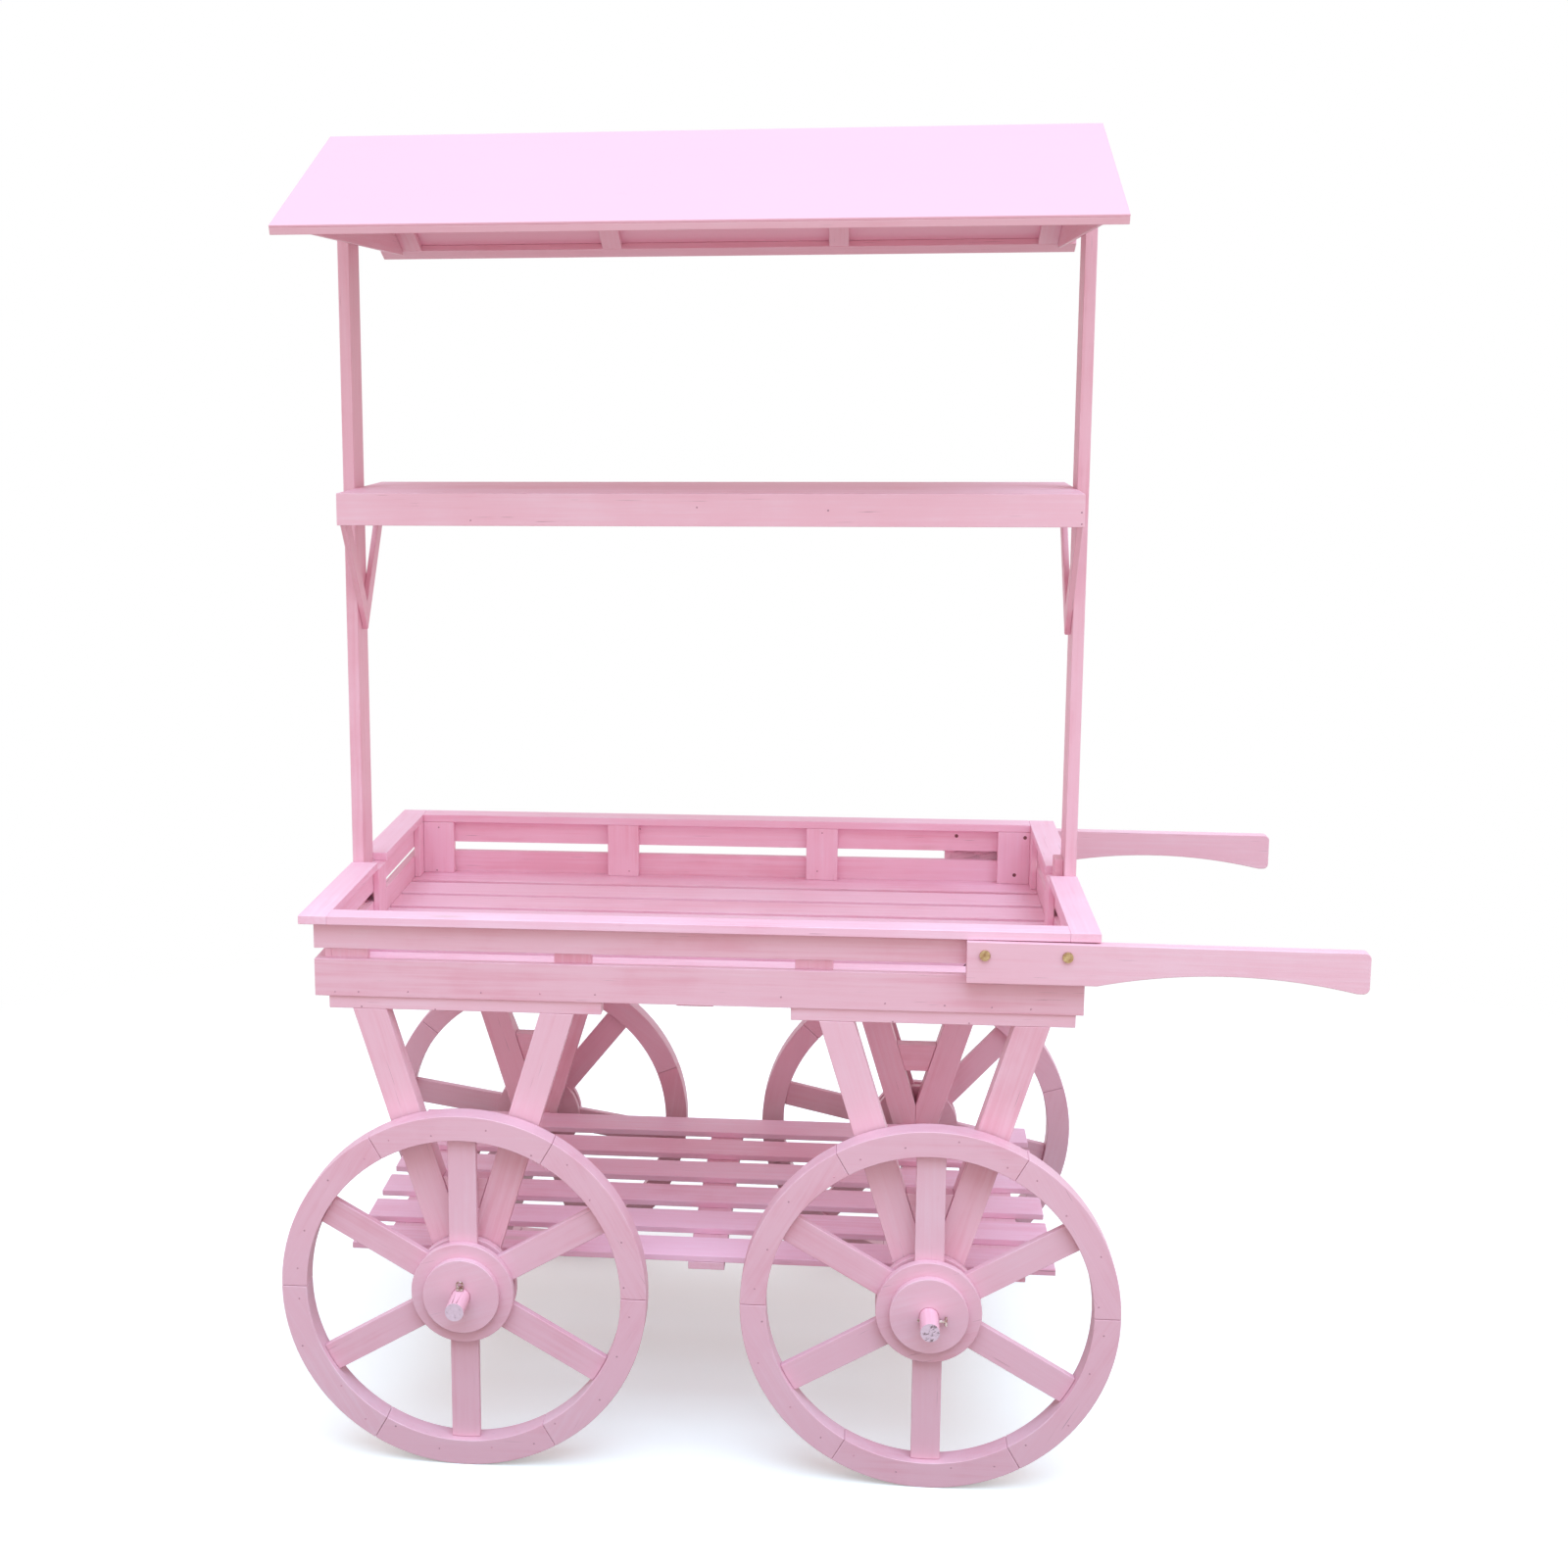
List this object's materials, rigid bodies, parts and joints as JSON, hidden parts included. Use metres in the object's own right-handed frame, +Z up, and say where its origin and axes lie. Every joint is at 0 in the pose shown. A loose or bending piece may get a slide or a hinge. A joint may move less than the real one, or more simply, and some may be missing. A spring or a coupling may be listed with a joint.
{
  "type": "flower cart stand",
  "caption": "Painted timber flower cart stand: shallow tray and gabled roof on posts, shelves between, spoked dummy wheels on dowel axles and a pair of push handles.",
  "frame": {"origin": "on the floor, under the middle of the whole cart with its handles", "axes": "+X along the cart towards the handles, +Y from the front to the rear, +Z up"},
  "size_m": [1.419, 0.898, 1.804],
  "materials": {
    "wheel_paint": "brush-painted timber, satin",
    "roof_paint": "brush-painted thin panel, satin",
    "tray_paint": "brush-painted boards, satin",
    "frame_paint": "brush-painted timber, satin",
    "dowel_paint": "painted dowel, bare grain at the ends",
    "pin_metal": "dull steel, paint-flecked",
    "screw_metal": "yellow-passivated screw"
  },
  "bodies": {
    "cart": {"axle_beam_left": "frame_paint", "axle_beam_right": "frame_paint", "axle_left": "dowel_paint", "axle_pins_left": "pin_metal", "axle_pins_right": "pin_metal", "axle_right": "dowel_paint", "crossbars_front": "frame_paint", "crossbars_rear": "frame_paint", "gable_left": "frame_paint", "gable_right": "frame_paint", "handle_front": "frame_paint", "handle_rear": "frame_paint", "handle_screws": "screw_metal", "legs_front_left": "frame_paint", "legs_front_right": "frame_paint", "legs_rear_left": "frame_paint", "legs_rear_right": "frame_paint", "mid_shelf_boards": "frame_paint", "mid_shelf_ends": "frame_paint", "mid_shelf_fascias": "frame_paint", "post_block": "frame_paint", "post_left": "frame_paint", "post_right": "frame_paint", "rafters_front": "frame_paint", "rafters_rear": "frame_paint", "roof_battens": "frame_paint", "roof_sheet_front": "roof_paint", "roof_sheet_rear": "roof_paint", "shelf_bearers": "frame_paint", "shelf_braces": "frame_paint", "shelf_slats": "frame_paint", "top_rails_front": "frame_paint", "top_rails_rear": "frame_paint", "tray_bearers": "tray_paint", "tray_cleats": "tray_paint", "tray_floor": "tray_paint", "tray_wall_front": "tray_paint", "tray_wall_left": "tray_paint", "tray_wall_rear": "tray_paint", "tray_wall_right": "tray_paint", "trim_front": "tray_paint", "trim_left": "tray_paint", "trim_rear": "tray_paint", "trim_right": "tray_paint"},
    "wheel_front_left": {"rim_front_left": "wheel_paint", "spokes_front_left": "wheel_paint", "hub_front_left": "wheel_paint", "cap_front_left": "wheel_paint"},
    "wheel_front_right": {"rim_front_right": "wheel_paint", "spokes_front_right": "wheel_paint", "hub_front_right": "wheel_paint", "cap_front_right": "wheel_paint"},
    "wheel_rear_left": {"rim_rear_left": "wheel_paint", "spokes_rear_left": "wheel_paint", "hub_rear_left": "wheel_paint", "cap_rear_left": "wheel_paint"},
    "wheel_rear_right": {"rim_rear_right": "wheel_paint", "spokes_rear_right": "wheel_paint", "hub_rear_right": "wheel_paint", "cap_rear_right": "wheel_paint"}
  },
  "joints": [
    {"name": "front_left_wheel_turn", "type": "hinge", "parent": "cart", "child": "wheel_front_left", "pos_m": [-0.4595, -0.368, 0.25], "axis": [0, 1, 0], "continuous": true},
    {"name": "front_right_wheel_turn", "type": "hinge", "parent": "cart", "child": "wheel_front_right", "pos_m": [0.1655, -0.368, 0.25], "axis": [0, 1, 0], "continuous": true},
    {"name": "rear_left_wheel_turn", "type": "hinge", "parent": "cart", "child": "wheel_rear_left", "pos_m": [-0.4595, 0.368, 0.25], "axis": [0, 1, 0], "continuous": true},
    {"name": "rear_right_wheel_turn", "type": "hinge", "parent": "cart", "child": "wheel_rear_right", "pos_m": [0.1655, 0.368, 0.25], "axis": [0, 1, 0], "continuous": true}
  ]
}
